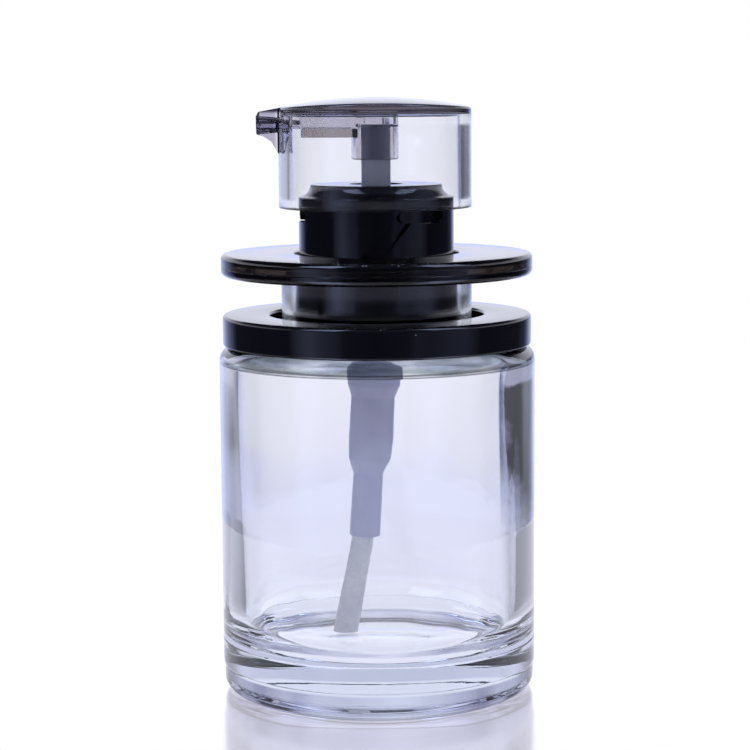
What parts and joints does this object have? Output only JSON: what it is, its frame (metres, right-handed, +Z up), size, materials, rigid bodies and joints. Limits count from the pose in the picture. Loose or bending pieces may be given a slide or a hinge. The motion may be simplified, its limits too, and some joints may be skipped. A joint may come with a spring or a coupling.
{
  "type": "foundation pump bottle",
  "caption": "Round heavy-based glass bottle with a spring pump, a smoked spout actuator and a smoked ring that turns to raise a black sleeve and lock the pump.",
  "frame": {"origin": "centre of the base, on the surface that the bottle stands on", "axes": "+Z up along the bottle's axis, spout towards -X, front towards -Y"},
  "size_m": [0.039, 0.039, 0.0734],
  "materials": {
    "clear_glass": "polished, very faint lilac tint",
    "black_plastic": "polished opaque black",
    "smoked_plastic": "polished see-through brown-grey smoke",
    "clear_plastic": "polished see-through, faint grey",
    "actuator_plastic": "polished see-through light smoke",
    "pump_plastic": "translucent natural polypropylene, satin",
    "white_plastic": "natural polyethylene, satin",
    "stem_plastic": "translucent grey, satin",
    "tube_plastic": "translucent extruded polyethylene",
    "gasket_foam": "soft white gasket",
    "steel_ball": "polished",
    "spring_steel": "drawn stainless wire"
  },
  "bodies": {
    "bottle": {"glass_bottle": "clear_glass", "shoulder_collar": "black_plastic", "snap_closure": "black_plastic", "neck_gasket": "gasket_foam", "pump_housing": "pump_plastic", "stem_guide": "white_plastic", "ball_cage": "white_plastic", "pump_spring": "spring_steel", "dip_tube": "tube_plastic"},
    "turn_ring": {"ring_top_shell": "smoked_plastic", "ring_base_plate": "smoked_plastic", "clear_sleeve": "clear_plastic"},
    "lift_sleeve": {"guide_sleeve": "black_plastic", "sleeve_cap": "black_plastic"},
    "plunger": {"pump_stem": "stem_plastic", "plunger_pin": "white_plastic"},
    "seal": {"piston": "white_plastic"},
    "actuator": {"actuator_cap": "actuator_plastic", "channel_bar": "actuator_plastic"},
    "ball": {"inlet_ball": "steel_ball"}
  },
  "joints": [
    {"name": "pump_press", "type": "slide", "parent": "bottle", "child": "plunger", "axis": [0, 0, 1], "range_m": [-0.005, 0], "stiffness_N_per_m": 1200, "springref_m": 0.002, "deforming": ["pump_spring"]},
    {"name": "actuator_swivel", "type": "hinge", "parent": "plunger", "child": "actuator", "pos_m": [0, 0, 0.07], "axis": [0, 0, 1], "continuous": true},
    {"name": "ring_turn", "type": "hinge", "parent": "bottle", "child": "turn_ring", "pos_m": [0, 0, 0.053], "axis": [0, 0, 1], "range_deg": [0, 27]},
    {"name": "sleeve_lift", "type": "slide", "parent": "turn_ring", "child": "lift_sleeve", "axis": [0, 0, 1], "range_m": [0, 0.00535]},
    {"name": "ball_lift", "type": "slide", "parent": "bottle", "child": "ball", "axis": [0, 0, 1], "range_m": [0, 0.00045]},
    {"name": "piston_slip", "type": "slide", "parent": "plunger", "child": "seal", "axis": [0, 0, 1], "range_m": [0, 0.0009]}
  ],
  "couplings": [
    {"joint": "ring_turn", "follows": "sleeve_lift", "rad_per_m": 88.08}
  ]
}
